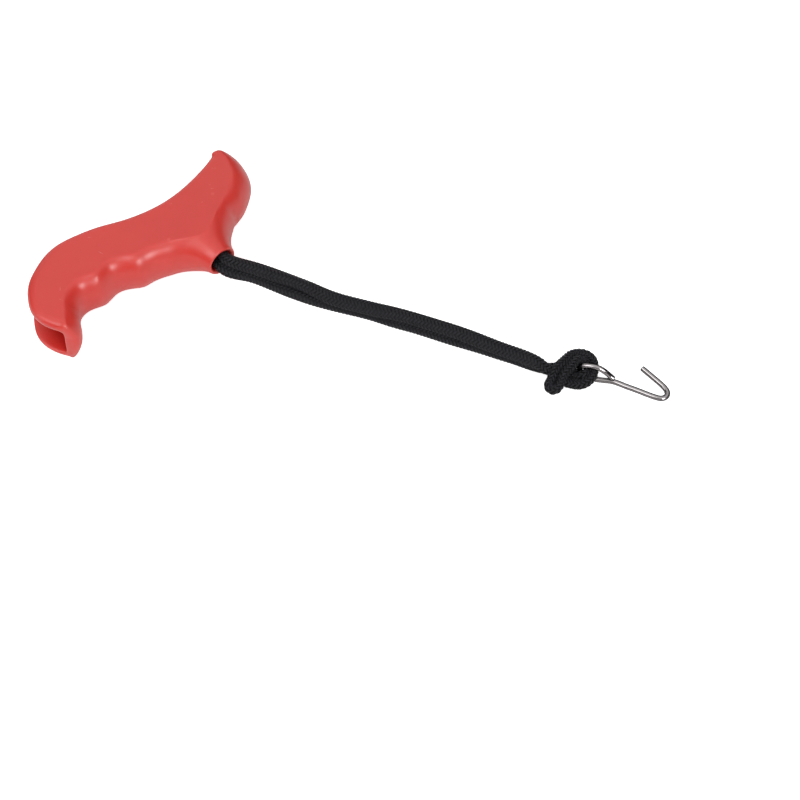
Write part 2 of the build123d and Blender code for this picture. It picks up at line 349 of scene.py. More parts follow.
def black_cord():
    nodes = material_nodes("black_braided_yarn")
    uv = nodes.add("UVMap").outputs["UV"]
    axes = nodes.split(uv)
    # filaments run along each yarn: fine lines round the yarn, slowly wandering along it
    wander = nodes.noise(uv, scale=1.2, detail=2.0)
    across = nodes.plus(nodes.scaled(axes["Y"], gain=17.0), nodes.scaled(wander, gain=2.2))
    twist = nodes.plus(across, nodes.scaled(axes["X"], gain=1.1))
    lines = nodes.math("SINE", nodes.scaled(twist, gain=6.2832))
    lines = nodes.scaled(lines, gain=0.5, offset=0.5)
    place = nodes.coords()
    fuzz = nodes.noise(place, scale=3800.0, detail=3.0)
    patch = nodes.noise(place, scale=190.0, detail=2.0)
    dark = nodes.mix(patch, low=(0.0052, 0.0052, 0.0074, 1), high=(0.0108, 0.0107, 0.0146, 1))
    # the filament lines are the yarns' pattern; their pale colour is partly a painted sheen on the lit
    # yarn crowns
    tone = nodes.mix(nodes.scaled(lines, gain=0.5), low=dark, high=(0.054, 0.054, 0.066, 1))
    # painted shade: yarns are painted near-black at their edges and where they dive under the others
    lift = nodes.add("Attribute", attribute_name="lift").outputs["Fac"]
    shade = nodes.ramp(lift, stops=[(0.0, 0.0), (0.30, 0.04), (0.95, 1.0)])
    tone = nodes.mix(shade, low=(0.0012, 0.0012, 0.0016, 1), high=tone)
    height = nodes.plus(lines, nodes.scaled(fuzz, gain=0.6))
    return nodes.finish(nodes.add("BsdfPrincipled", {
        "Base Color": tone,
        "Roughness": nodes.scaled(fuzz, gain=0.22, offset=0.42),
        "Normal": nodes.bump(height, strength=0.6, distance=0.00012),
        "Specular IOR Level": 0.26,
        "Sheen Weight": 0.03,
        "Sheen Roughness": 0.45,
        "Sheen Tint": (0.6, 0.6, 0.66, 1),
    }))


def cut_cord():
    nodes = material_nodes("melted_cord_end")
    lumps = nodes.noise(nodes.coords(), scale=900.0, detail=4.0)
    return nodes.finish(nodes.add("BsdfPrincipled", {
        "Base Color": nodes.mix(lumps, low=(0.006, 0.006, 0.007, 1), high=(0.020, 0.020, 0.022, 1)),
        "Roughness": 0.35,
        "Normal": nodes.bump(lumps, strength=0.7, distance=0.0003),
    }))


def bright_wire():
    nodes = material_nodes("bright_drawn_wire")
    # streaks drawn out along the wire
    stretched = nodes.add("Mapping", {"Scale": (0.10, 34.0, 1.0),
                                      "Vector": nodes.add("UVMap").outputs["UV"]})
    streak = nodes.noise(stretched.outputs["Vector"], scale=1.0, detail=5.0, roughness=0.6)
    spots = nodes.noise(nodes.coords(), scale=700.0, detail=3.0)
    tone = nodes.mix(streak, low=(0.34, 0.315, 0.32, 1), high=(0.47, 0.445, 0.45, 1))
    rough = nodes.plus(nodes.scaled(streak, gain=0.12), nodes.scaled(spots, gain=0.07))
    base_roughness = 0.05
    rough = nodes.plus(rough, base_roughness)
    height = nodes.plus(streak, nodes.scaled(spots, gain=0.4))
    normal = nodes.bump(height, strength=0.12, distance=0.00008)
    # painted reflection: faces seen edge-on are painted dark, standing in for the dark surroundings the
    # wire reflects at its edges
    edge = nodes.add("LayerWeight", {"Blend": 0.5}).outputs["Facing"]
    dark_rim_reflection = nodes.ramp(edge, stops=[(0.0, 0.0), (0.10, 0.0), (0.52, 1.0)])
    tone = nodes.mix(nodes.scaled(dark_rim_reflection, gain=0.90), low=tone, high=(0.045, 0.037, 0.039, 1))
    return nodes.finish(nodes.add("BsdfPrincipled", {
        "Metallic": 1.0,
        "Specular Tint": (0.25, 0.24, 0.24, 1),
        "Base Color": tone,
        "Roughness": rough,
        "Normal": normal,
    }))


RED, CORD_MATERIAL, CUT_MATERIAL, WIRE_MATERIAL = red_plastic(), black_cord(), cut_cord(), bright_wire()

# ------------------------------------------------------------------ handle
# A signed distance field (negative inside) turned into a smooth mesh.

# palm side of the outline: x, y
PALM = [
    (-22.6, 30.3), (-20.8, 25.8), (-19.4, 20.6), (-18.3, 15.8), (-17.2, 9.6), (-16.6, 2.8),
    (-16.8, -3.4), (-17.6, -8.9), (-18.8, -14.2), (-20.3, -19.1), (-22.1, -23.7), (-24.2, -28.1),
    (-26.1, -32.6), (-27.6, -37.5), (-28.8, -42.7), (-30.0, -48.0), (-29.8, -54.5), (-29.0, -59.0),
    (-26.9, -64.8), (-24.1, -69.8), (-20.4, -74.1), (-15.5, -77.1), (-11.1, -79.4), (-6.0, -80.2),
    (-1.1, -79.6), (3.6, -77.8), (6.6, -76.0),
]
# finger side of the outline: x, y at the mid-plane, then x, y at the cheek face
FINGER = [
    (8.5, -75.1, 7.8, -74.4), (10.6, -73.5, 7.6, -73.0), (11.3, -71.5, 6.0, -72.2),
    (10.0, -69.1, 2.6, -70.6), (7.1, -66.9, -0.8, -68.2), (3.4, -65.0, -4.0, -66.0),
    (0.4, -62.8, -6.2, -63.6), (-1.5, -60.8, -7.6, -60.6), (-2.7, -58.0, -8.4, -57.2),
    (-2.4, -55.1, -8.2, -54.2), (-0.9, -51.4, -7.4, -51.6), (-0.7, -48.6, -5.8, -48.1),
    (-1.4, -45.3, -6.3, -45.0), (-1.8, -41.7, -7.3, -41.2), (-0.9, -38.7, -6.8, -37.6),
    (1.1, -35.6, -5.3, -34.2), (3.3, -32.6, -3.3, -31.4), (4.1, -29.5, -2.1, -29.2),
    (4.3, -25.9, -1.7, -25.6), (5.3, -21.9, -0.5, -21.4), (7.2, -17.7, 1.2, -16.8),
    (8.4, -12.0, 3.8, -11.8), (9.2, -6.0, 6.8, -6.2), (9.6, 0.0, 8.8, -0.6), (9.2, 6.0, 6.8, 4.4),
    (8.4, 11.0, 4.0, 10.0), (7.2, 15.3, 1.8, 14.8), (5.4, 18.7, 0.0, 18.6), (4.6, 22.6, -1.8, 22.4),
    (3.6, 26.1, -4.0, 26.2), (1.2, 30.3, -6.8, 29.4), (-1.5, 34.1, -9.4, 31.4),
    (-4.2, 36.7, -11.6, 32.4), (-7.5, 38.5, -13.8, 33.2), (-11.4, 39.7, -16.1, 34.2),
    (-16.0, 40.3, -18.3, 34.6), (-20.5, 39.6, -20.4, 34.9), (-24.4, 37.6, -22.0, 35.0),
    (-25.8, 34.2, -23.2, 33.7), (-25.0, 31.0, -23.7, 31.3),
]
# the hollow's outline before and after the finger wall; it runs out past the palm side
HOLLOW_BEFORE = [(6.7, -86.0), (6.5, -71.0)]
HOLLOW_AFTER = [(-22.4, 32.2), (-22.9, 30.9), (-25.5, 29.4), (-40.0, 22.0), (-42.0, -50.0),
                (-36.0, -86.0)]
# spout: x, half width, half height
SPOUT = [
    (-4, 20.5, 14.0), (0, 20, 13.8), (5, 19, 13.0), (7, 17, 12.35), (8.5, 15.2, 11.85),
    (10, 13.3, 11.2), (11.5, 11.7, 10.5), (13.3, 10.1, 9.6), (15, 8.9, 8.7), (17, 7.75, 7.75),
    (18.5, 7.25, 7.4), (20.5, 7.0, 7.1),
]
GRID = 0.5
WALL = 2.6              # thickness of the finger wall
HOLLOW_HALF = 7.2       # half height of the hollow; the cheeks lie beyond it
HOLLOW_TOP = 9.0        # above this height the hollow's outline stays as it is
FACE_BLEND = 0.55       # softening where sides meet the cheek faces
BULGE = 12.2            # radius of the arc that blends mid-plane line into face line
BORE_RADIUS = 5.25
FLARE_GAIN = 0.75       # how much the bore widens at its mouth
FLARE_LENGTH = 3.4
NUB_X, NUB_Y = -22.6, -26.8
NUB_RADIUS = 0.95


def smooth_min(first, second, blend):
    part = np.clip(0.5 + 0.5 * (second - first) / blend, 0, 1)
    return second + (first - second) * part - blend * part * (1 - part)


def smooth_max(first, second, blend):
    return -smooth_min(-first, -second, blend)


def offset_line(line, distance):
    """Moves a line to its left, by one distance or one per point."""
    tangent = np.gradient(line, axis=0)
    return line + unit(np.stack([-tangent[:, 1], tangent[:, 0]], 1)) * np.reshape(distance, (-1, 1))


def polygon_distance(px, py, polygon):
    """Signed distance from points to a closed polygon, negative inside."""
    nearest = np.full(px.shape, 1e9)
    inside = np.zeros(px.shape, bool)
    for (x0, y0), (x1, y1) in zip(polygon, np.roll(polygon, -1, axis=0)):
        edge_x, edge_y = x1 - x0, y1 - y0
        from_x, from_y = px - x0, py - y0
        part = (from_x * edge_x + from_y * edge_y) / (edge_x * edge_x + edge_y * edge_y + 1e-12)
        part = np.clip(part, 0, 1)
        off_x, off_y = from_x - part * edge_x, from_y - part * edge_y
        np.minimum(nearest, off_x * off_x + off_y * off_y, out=nearest)
        if y0 != y1:
            spans = (y0 > py) != (y1 > py)
            inside ^= spans & (px < edge_x * (py - y0) / edge_y + x0)
    return np.sqrt(nearest) * np.where(inside, -1.0, 1.0)


def finger_blend(height):
    """0 at the mid-plane, 1 at the cheek face, along an arc."""
    def sag(x):
        return 1 - math.sqrt(max(0.0, 1 - (x / BULGE) ** 2))
    return sag(min(height, MID)) / sag(MID)


def palm_inset(height, y):
    """The edge rounding grows from 1.6 mm along the palm to 3.4 mm at the pommel (low y)."""
    radius = 1.6 + 1.8 * np.clip((-52.0 - y) / 14.0, 0, 1)
    depth = max(0.0, MID - height)
    inset = radius - np.sqrt(np.maximum(radius**2 - np.maximum(radius - depth, 0) ** 2, 0))
    return np.where(depth >= radius, 0.0, inset)


def outline_fields(x, y, heights):
    """Distance to the outer outline and to the hollow's outline, layer by layer."""
    px, py = np.meshgrid(x, y, indexing="ij")
    finger = relax(catmull_rom(FINGER, 4), 1)
    middle, face = finger[:, :2], finger[:, 2:]
    palm = relax(catmull_rom(PALM, 3), 5)
    outer, inner = [], []
    for height in heights:
        line = middle + finger_blend(height) * (face - middle)
        side = offset_line(palm, palm_inset(height, palm[:, 1]))
        outer.append(polygon_distance(px, py, np.vstack([side, line])))
        if height <= HOLLOW_TOP:
            # the wall's first and last points fall outside the hollow
            wall = offset_line(line, WALL)[12:-7]
            hollow = polygon_distance(px, py, np.vstack([HOLLOW_BEFORE, wall, HOLLOW_AFTER]))
        inner.append(hollow)
    return np.stack(outer, 2), np.stack(inner, 2)


def spout_field(x, X, Y, H):
    stations, half_wide, half_high = np.array(SPOUT).T

    def averaged(values):
        padded = np.pad(np.interp(x, stations, values), 4, mode="edge")
        return np.convolve(padded, np.ones(9) / 9, "valid")[:, None, None]
    wide, high = averaged(half_wide), averaged(half_high)
    radial = np.sqrt((Y / wide) ** 2 + (H / high) ** 2)
    spout = (radial - 1) * np.minimum(wide, high) * 0.92    # 0.92 evens out the distances
    spout = smooth_max(spout, X - SPOUT_END, 1.3)
    spout = smooth_max(spout, H - MID, FACE_BLEND)
    return smooth_max(spout, -X - 2.0, 0.5)                 # its root is cut off at x = -2


def nub_field(X, Y, H):
    """A nub with a short slanting rib, on the cheeks' inner faces."""
    nub = np.sqrt((X - NUB_X) ** 2 + (Y - NUB_Y) ** 2 + (H - HOLLOW_HALF) ** 2) - NUB_RADIUS
    from_x, from_y = X - NUB_X - 1.0, Y - NUB_Y
    cos_turn, sin_turn = 0.94, 0.34
    rib = smooth_max(np.abs(from_x * cos_turn + from_y * sin_turn) - 1.6,
                     np.abs(-from_x * sin_turn + from_y * cos_turn) - 0.35, 0.3)
    rib = smooth_max(rib, np.abs(H - 7.1) - 0.5, 0.3)
    return smooth_min(nub, rib, 0.3)


def handle_field():
    """The handle's field on a grid, and the place of the grid's first corner.

    The upper half is worked out, with heights H above the mid-plane, then mirrored.
    """
    x = np.arange(-33.0, 23.5, GRID)
    y = np.arange(-83.0, 44.0, GRID)
    heights = np.arange(0.0, MID + 2.2 * GRID, GRID)
    outer, inner = outline_fields(x, y, heights)
    X, Y, H = np.meshgrid(x, y, heights, indexing="ij")
    body = smooth_max(outer, H - MID, FACE_BLEND)
    field = smooth_min(body, spout_field(x, X, Y, H), 1.6)
    hollow = smooth_max(inner, H - HOLLOW_HALF, 2.0)
    field = smooth_max(field, -hollow, 0.6)
    flare = np.clip((X - (SPOUT_END - FLARE_LENGTH)) / FLARE_LENGTH, 0, 1.1) ** 2
    radius = BORE_RADIUS + FLARE_GAIN * flare
    bore = smooth_max(np.sqrt(Y**2 + H**2) - radius, 2.0 - X, 0.4)
    field = smooth_max(field, -bore, 0.9)
    field = smooth_min(field, nub_field(X, Y, H), 0.5)
    mirrored = np.concatenate([field[:, :, :0:-1], field], 2)
    return mirrored, np.array([x[0], y[0], MID - heights[-1]])


def surface_nets(field, origin):
    """One vertex in each grid cell the surface passes through, and quads joining them."""
    solid = field < 0
    corners = [(i, j, k) for i in (0, 1) for j in (0, 1) for k in (0, 1)]
    cells = [size - 1 for size in field.shape]
    count = np.zeros(cells, np.int8)
    for i, j, k in corners:
        count += solid[i:i + cells[0], j:j + cells[1], k:k + cells[2]]
    ii, jj, kk = np.nonzero((count > 0) & (count < 8))
    index = np.full(cells, -1, np.int64)
    index[ii, jj, kk] = np.arange(len(ii))
    # each vertex is the mean of the crossings on its cell's edges
    total, crossings = np.zeros((len(ii), 3)), np.zeros(len(ii))
    for near in corners:
        for axis in range(3):
            if near[axis]:
                continue
            far = list(near)
            far[axis] = 1
            at_near = field[ii + near[0], jj + near[1], kk + near[2]]
            at_far = field[ii + far[0], jj + far[1], kk + far[2]]
            crossed = (at_near < 0) != (at_far < 0)
            part = np.where(crossed, at_near / np.where(crossed, at_near - at_far, 1), 0)
            point = np.array(near, float) + part[:, None] * (np.array(far, float) - near)
            total[crossed] += point[crossed]
            crossings[crossed] += 1
    verts = origin + GRID * (np.stack([ii, jj, kk], 1) + total / crossings[:, None])
    quads = []
    for axis in range(3):
        others = ((axis + 1) % 3, (axis + 2) % 3)
        low, high = [slice(1, -1)] * 3, [slice(1, -1)] * 3
        low[axis], high[axis] = slice(0, -1), slice(1, None)
        first, second = solid[tuple(low)], solid[tuple(high)]
        edges = np.stack(np.nonzero(first != second), 1)
        inside_first = first[tuple(edges.T)]
        edges[:, others] += 1
        step_1, step_2 = np.eye(3, dtype=int)[list(others)]
        around = [edges - step_1 - step_2, edges - step_2, edges, edges - step_1]
        faces = np.stack([index[tuple(cell.T)] for cell in around], 1)
        faces[~inside_first] = faces[~inside_first][:, ::-1]
        quads.append(faces)
    return verts, np.vstack(quads)


def trilinear(field, origin, points):
    scaled = (points - origin) / GRID
    cell = np.clip(np.floor(scaled).astype(int), 0, np.array(field.shape) - 2)
    part = scaled - cell
    out = 0
    for i in (0, 1):
        for j in (0, 1):
            for k in (0, 1):
                weight = ((part[:, 0] if i else 1 - part[:, 0])
                          * (part[:, 1] if j else 1 - part[:, 1])
                          * (part[:, 2] if k else 1 - part[:, 2]))
                out = out + weight * field[cell[:, 0] + i, cell[:, 1] + j, cell[:, 2] + k]
    return out


def settle(verts, quads, field, origin):
    """Evens out the vertices and pulls them back onto the surface."""
    slopes = np.gradient(field, GRID)
    edges = np.vstack([quads[:, [k, (k + 1) % 4]] for k in range(4)])
    start, end = edges.T
    degree = np.bincount(edges.ravel(), minlength=len(verts)).astype(float)
    for _ in range(4):
        near = np.zeros_like(verts)
        for k in range(3):
            near[:, k] = (np.bincount(start, verts[end, k], len(verts))
                          + np.bincount(end, verts[start, k], len(verts)))
        near /= degree[:, None]
        verts = verts + 0.5 * (near - verts)
        for _ in range(2):
            value = trilinear(field, origin, verts)
            slope = np.stack([trilinear(part, origin, verts) for part in slopes], 1)
            verts = verts - slope * (value / np.maximum((slope * slope).sum(1), 0.05))[:, None]
    return verts


def build_handle():
    field, origin = handle_field()
    # light smoothing of the field rounds the last stair steps
    for axis in range(3):
        field = 0.2 * np.roll(field, 1, axis) + 0.6 * field + 0.2 * np.roll(field, -1, axis)
    verts, quads = surface_nets(field, origin)
    verts = settle(verts, quads, field, origin)
    # the lower cheek reaches a little further past the pommel than the upper one
    weight = np.clip((-50.0 - verts[:, 1]) / 18.0, 0, 1)
    weight = weight * weight * (3 - 2 * weight)
    lean = np.clip((MID - verts[:, 2]) / HOLLOW_HALF, -0.5, 1.0)
    verts[:, 0] += 0.08 * weight * lean
    verts[:, 1] -= 1.0 * weight * lean
    verts[:, 2] = np.clip(verts[:, 2], 0.0, 2 * MID)
    return make_mesh("handle_shell", verts, quads, RED)


handle = build_handle()
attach(handle, "handle")
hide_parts("handle")

# ------------------------------------------------------------------ cord: its course
# One braided rope, folded double. A place on the cord is its distance from the spout's mouth
# along the line midway between the two strands.

# centre line from the spout's mouth to the hook knot: x, y, z
CORD = [
    (20.0, 0.0, 11.5), (31.83, 5.55, 10.97), (36.72, 8.24, 10.48), (42.22, 10.94, 9.81),
    (48.61, 14.0, 8.92), (54.83, 17.19, 8.0), (61.8, 20.87, 6.97), (68.93, 24.98, 6.03),
    (75.76, 29.36, 5.4), (82.75, 33.58, 5.1), (90.39, 37.76, 5.0), (98.51, 42.03, 4.95),
    (106.73, 46.12, 4.9), (115.01, 50.11, 4.9), (123.37, 53.93, 4.9), (131.75, 57.65, 4.9),
    (140.04, 61.4, 4.9), (146.44, 63.97, 4.9),
]
# distance along the cord, roll of the pair of strands in degrees (0 is side by side)
ROLL = [
    (-12, 60), (-6, 52), (0, 48), (8, 66), (16, 70), (24, 66), (32, 56), (40, 61), (48, 82),
    (56, 92), (64, 95), (72, 92), (80, 79), (96, 81), (108, 76), (116, 86), (124, 93), (132, 100),
    (146, 104),
]
# distance along the cord, how much the strands swell (0 to 1)
SWELL = [
    (0, 0.1), (8, 0.3), (16, 0.55), (24, 0.8), (32, 0.78), (40, 0.6), (48, 0.38), (56, 0.38),
    (64, 0.3), (72, 0.3), (80, 0.4), (88, 0.25), (96, 0.3), (104, 0.45), (112, 0.5), (120, 0.35),
    (128, 0.1), (140, 0.05),
]
# rows of x, y, z, roll, half separation, half thickness along the pair, half width across it
INTO_KNOT = [(151.4, 65.75, 4.75, 112, 2.25, 2.25, 2.70), (154.2, 66.9, 4.5, 130, 2.2, 2.2, 2.5)]
OUT_OF_KNOT = [(159.9, 67.2, 7.0, 180, 2.05, 2.2, 2.3), (161.3, 63.8, 5.7, 180, 2.05, 2.2, 2.3),
               (161.6, 62.4, 5.2, 180, 2.0, 2.2, 2.3)]
# the round end of the wire's eye stands here; the loop of cord closes round it
EYE_X, EYE_Y = 163.3, 76.9
# angle about the post, inner and outer edge of the doubled cord, height, half height, roll
EYE_LOOP = [
    (-123, 1.15, 11.4, 3.3, 2.4, 155), (-104, 1.1, 11.2, 2.85, 2.3, 172),
    (-78, 1.1, 10.2, 2.9, 2.2, 176), (-50, 1.35, 9.9, 3.6, 2.25, 178),
    (-22, 1.4, 9.4, 4.6, 2.3, 180), (6, 1.5, 8.6, 4.7, 2.25, 180), (40, 1.5, 8.2, 4.62, 2.15, 180),
    (79, 1.55, 9.0, 4.7, 2.3, 184), (110, 1.6, 9.9, 4.7, 2.3, 190), (140, 1.2, 9.6, 5.1, 2.45, 190),
    (170, 1.05, 8.9, 5.9, 2.85, 186), (-143, 1.05, 9.6, 6.9, 2.6, 182),
]
CORD_START = -11.3      # where the cord meets the stopper knot
CORD_STEP = 0.1
HINGES = [0.0, 14.0, 34.0, 56.0, 78.0, 100.0, 124.0, 147.2]
STRETCH_ENDS = [CORD_START, 7.0, 24.0, 45.0, 67.0, 89.0, 112.0, 135.6, 152.2]
CHAIN = ["cord_root"] + ["cord_length_%d" % i for i in range(1, 8)] + ["hook_knot"]


def around_eye(radius, degrees, z):
    angle = math.radians(degrees)
    return EYE_X + radius * math.cos(angle), EYE_Y + radius * math.sin(angle), z


def cord_rows():
    """Rows of x, y, z, roll, half separation, half thickness, half width."""
    rolls, swells = np.array(ROLL).T, np.array(SWELL).T
    rows = [(x, 0.03 * (x - 5.0), MID, np.interp(x - SPOUT_END, *rolls), 2.25, 2.2, 2.75)
            for x in (5.0, 9.0, 13.0, 17.0)]
    for point, distance in zip(CORD, lengths(np.array(CORD))):
        swell = np.interp(distance, *swells)
        rows.append((*point, np.interp(distance, *rolls),
                     2.22 + 0.21 * swell, 2.56 + 0.21 * swell, 3.10 + 0.68 * swell))
    rows += INTO_KNOT
    for degrees, inner, outer, z, half_high, roll in EYE_LOOP:
        half = 0.5 * (outer - inner)
        # the strands share the doubled cord's width, overlapping a little
        rows.append((*around_eye(0.5 * (inner + outer), degrees, z), roll,
                     0.43 * half, 0.57 * half, half_high))
    return rows + OUT_OF_KNOT


dense = natural_spline(cord_rows(), 24)
dense_at = lengths(dense)
mouth = np.argmin(np.linalg.norm(dense[:, :3] - np.array([SPOUT_END, 0, MID]), axis=1))
dense_at = dense_at - dense_at[mouth]
cord_at = np.r_[np.arange(CORD_START - 1.0, dense_at[-1], CORD_STEP), dense_at[-1]]
even = resample(cord_at, dense_at, dense)
cord_line = even[:, :3]
roll, half_gap, half_thick, half_wide = even[:, 3:].T

cord_tangent = unit(np.gradient(cord_line, cord_at, axis=0))
level = unit(np.stack([-cord_tangent[:, 1], cord_tangent[:, 0], np.zeros(len(cord_at))], 1))
upward = np.cross(cord_tangent, level)
roll = np.radians(roll)[:, None]
pair = level * np.cos(roll) + upward * np.sin(roll)     # from the second strand to the first
across_pair = np.cross(cord_tangent, pair)

# centre: points; out, across: section axes; half_*: section half sizes; at: distance along
Rope = namedtuple("Rope", "centre out across half_out half_across at")


def wobble(long_wave, long_phase, short_wave, short_phase):
    """Small unevenness in how a strand lies, fading out towards both ends."""
    fade = np.clip((cord_at - 6) / 10, 0, 1) * np.clip((140 - cord_at) / 10, 0, 1)
    waves = (0.12 * np.sin(cord_at / long_wave + long_phase)
             + 0.08 * np.sin(cord_at / short_wave + short_phase))
    return across_pair * (waves * fade)[:, None]


first_strand = cord_line + pair * half_gap[:, None] + wobble(9.0, 0.7, 4.3, 2.0)
second_strand = cord_line - pair * half_gap[:, None] + wobble(8.0, 3.1, 5.1, 0.4)


def folded_rope():
    """Down the first strand, round the fold, back along the second."""
    angle = np.linspace(0, math.pi, 40)[1:-1, None]
    outward, ahead = np.cos(angle) * pair[-1], np.sin(angle) * cord_tangent[-1]
    fold = cord_line[-1] + half_gap[-1] * (outward + ahead * 1.02)
    centre = np.vstack([first_strand, fold, second_strand[::-1]])
    out = np.vstack([pair, outward + ahead, -pair[::-1]])
    at = lengths(centre)
    tangent = unit(np.gradient(centre, at, axis=0))
    out = unit(out - tangent * (out * tangent).sum(1)[:, None])
    half_out, half_across = (np.r_[half, np.full(len(fold), half[-1]), half[::-1]]
                             for half in (half_thick, half_wide))
    return Rope(centre, out, np.cross(tangent, out), half_out, half_across, at)


def round_rope(points, radius):
    """A rope of round section through the points."""
    line = natural_spline(points, 16)
    at = lengths(line)
    line = resample(np.r_[np.arange(0, at[-1], 0.15), at[-1]], at, line)
    at = lengths(line)
    tangent = unit(np.gradient(line, at, axis=0))
    out = carried_normals(tangent, (0.3, 0.2, 0.93))
    half = np.full(len(line), radius)
    return Rope(line, out, np.cross(tangent, out), half, half, at)


DOUBLED = folded_rope()
# distances along the rope of each cord station, on the first and the second strand
STRAND_AT = (DOUBLED.at[:len(cord_at)], DOUBLED.at[-len(cord_at):][::-1])

# ------------------------------------------------------------------ cord: braiding
LAY = 13.2              # length of one full turn of a yarn
YARNS = 8               # in each direction
YARN_THICK = 0.68
WAVE = 0.33             # how far a yarn rises and dives as it crosses the others
YARN_FILL = 0.80        # a yarn's width as a share of its pitch round the rope
TYPICAL_RADIUS = 2.4    # rope radius that sets the yarns' slant
CORE_GAP = 0.30         # between yarns and core
YARN_SIDES, CORE_SIDES = 10, 14
BRAID_STEP = 0.34


def braid(tubes, rope, start, end):
    """Adds one stretch of braided rope, between two distances along it."""
    at = np.linspace(start, end, max(6, int((end - start) / BRAID_STEP) + 1))
    centre, out, across, half_out, half_across = (resample(at, rope.at, part) for part in rope[:5])
    out, across = unit(out), unit(across)
    angle = round_angles(YARN_SIDES)
    section_wide = signed_power(np.cos(angle), 0.85)
    section_high = signed_power(np.sin(angle), 0.85)
    crown = np.clip(section_high, 0, 1)[None, :] ** 2.2
    slant = math.cos(math.atan(FULL_TURN * TYPICAL_RADIUS / LAY))
    pitch = FULL_TURN * 0.5 * (half_out + half_across) / YARNS
    half_yarn = 0.5 * YARN_FILL * pitch * slant
    inset = YARN_THICK * 0.5 + WAVE
    for direction in (1, -1):
        for i in range(YARNS):
            theta = direction * FULL_TURN * at / LAY + FULL_TURN * i / YARNS
            # over two yarns, under two
            phase = 2 * i + direction * 2 * YARNS * at / LAY
            wave = signed_power(np.cos(FULL_TURN * (phase - 0.5) / 4), 0.55) * direction
            cos_t, sin_t = np.cos(theta), np.sin(theta)
            normal = unit(out * (cos_t / half_out)[:, None]
                          + across * (sin_t / half_across)[:, None])
            line = (centre + out * ((half_out - inset) * cos_t)[:, None]
                    + across * ((half_across - inset) * sin_t)[:, None]
                    + normal * (WAVE * wave)[:, None])
            along = unit(np.gradient(line, axis=0))
            sideways = unit(np.cross(normal, along))
            normal = np.cross(along, sideways)
            rings = (line[:, None]
                     + sideways[:, None] * (half_yarn[:, None] * section_wide)[..., None]
                     + normal[:, None] * (YARN_THICK * 0.5 * section_high)[None, :, None])
            # high on the crown of an over-float, low at its edges and dives; this lift only sets the
            # yarns' painted shade
            over = np.clip(0.5 + 0.62 * wave, 0.0, 1.0)[:, None]
            lift = crown * (0.18 + 0.82 * over)
            tubes.tube(rings[:, ::-1], along=at, lift=lift[:, ::-1])
    # core under the yarns; with no lift it takes the painted shade and shows near-black in the gaps
    # between yarns
    angle = round_angles(CORE_SIDES)
    core_out = (half_out - YARN_THICK - CORE_GAP)[:, None]
    core_across = (half_across - YARN_THICK - CORE_GAP)[:, None]
    rings = (centre[:, None] + out[:, None] * (np.cos(angle) * core_out)[..., None]
             + across[:, None] * (np.sin(angle) * core_across)[..., None])
    tubes.tube(rings, along=at)


def braid_whole(tubes, points, radius):
    rope = round_rope(points, radius)
    braid(tubes, rope, 0.0, rope.at[-1])
    return rope


def braid_strands(tubes, start, end):
    """Braids both strands between two places on the cord."""
    for strand_at in STRAND_AT:
        braid(tubes, DOUBLED, *sorted(np.interp((start, end), cord_at, strand_at)))


for i, hinge in enumerate(HINGES):
    tubes = TubeMesh()
    braid_strands(tubes, STRETCH_ENDS[i], STRETCH_ENDS[i + 1])
    piece = tubes.make("cord_stretch_%d" % (i + 1), CORD_MATERIAL)
    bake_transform(piece)
    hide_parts("cord_in_spout" if i == 0 else CHAIN[i])

# ------------------------------------------------------------------ hook knot and loop through the eye


def place_at_angle(degrees):
    """Place on the cord where it stands at this angle about the eye's round end."""
    late = np.where(cord_at > STRETCH_ENDS[-1] + 2.0)[0]
    offset = cord_line[late][:, :2] - np.array((EYE_X, EYE_Y))
    angle = np.unwrap(np.arctan2(offset[:, 1], offset[:, 0]))
    turned = np.degrees(angle - angle[0])
    wanted = (degrees - math.degrees(angle[0])) % 360
    return float(cord_at[late][np.argmin(np.abs(turned - wanted))])


LOOP_START, LOOP_MIDDLE, LOOP_END = (place_at_angle(degrees) for degrees in (-70, 40, 148))
# ends of each half of the loop, what they ride on, and the angles the blend runs between; only the ends
# are used here
LOOP_HALVES = [
    (LOOP_START, LOOP_MIDDLE, "hook_knot", "wire_hook", -58, 8),
    (LOOP_MIDDLE, LOOP_END, "wire_hook", "hook_knot", 72, 138),
]

tubes = TubeMesh()
braid_strands(tubes, STRETCH_ENDS[-1], LOOP_START)
# from the end of the loop, round the fold and back
braid(tubes, DOUBLED, *(np.interp(LOOP_END, cord_at, strand_at) for strand_at in STRAND_AT))
# the cord squeezed up against the wire, under the crossing
braid_whole(tubes, [around_eye(2.36, degrees, 4.3) for degrees in (-84, -110, -136, -162, 172, 150)],
            1.14)
knot = tubes.make("hook_knot_cord", CORD_MATERIAL)
for i, (start, end, start_on, end_on, blend_start, blend_end) in enumerate(LOOP_HALVES):
    tubes = TubeMesh()
    braid_strands(tubes, start, end)
    piece = tubes.make("cord_through_eye_%d" % (i + 1), CORD_MATERIAL)
    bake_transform(piece)
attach(knot, "hook_knot")
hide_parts("hook_knot")

# ------------------------------------------------------------------ stopper knot inside the handle
STOPPER_X = 1.9
TREFOIL_SIZE, TREFOIL_DEPTH = 1.32, 1.95    # scale in y and z, half extent in x

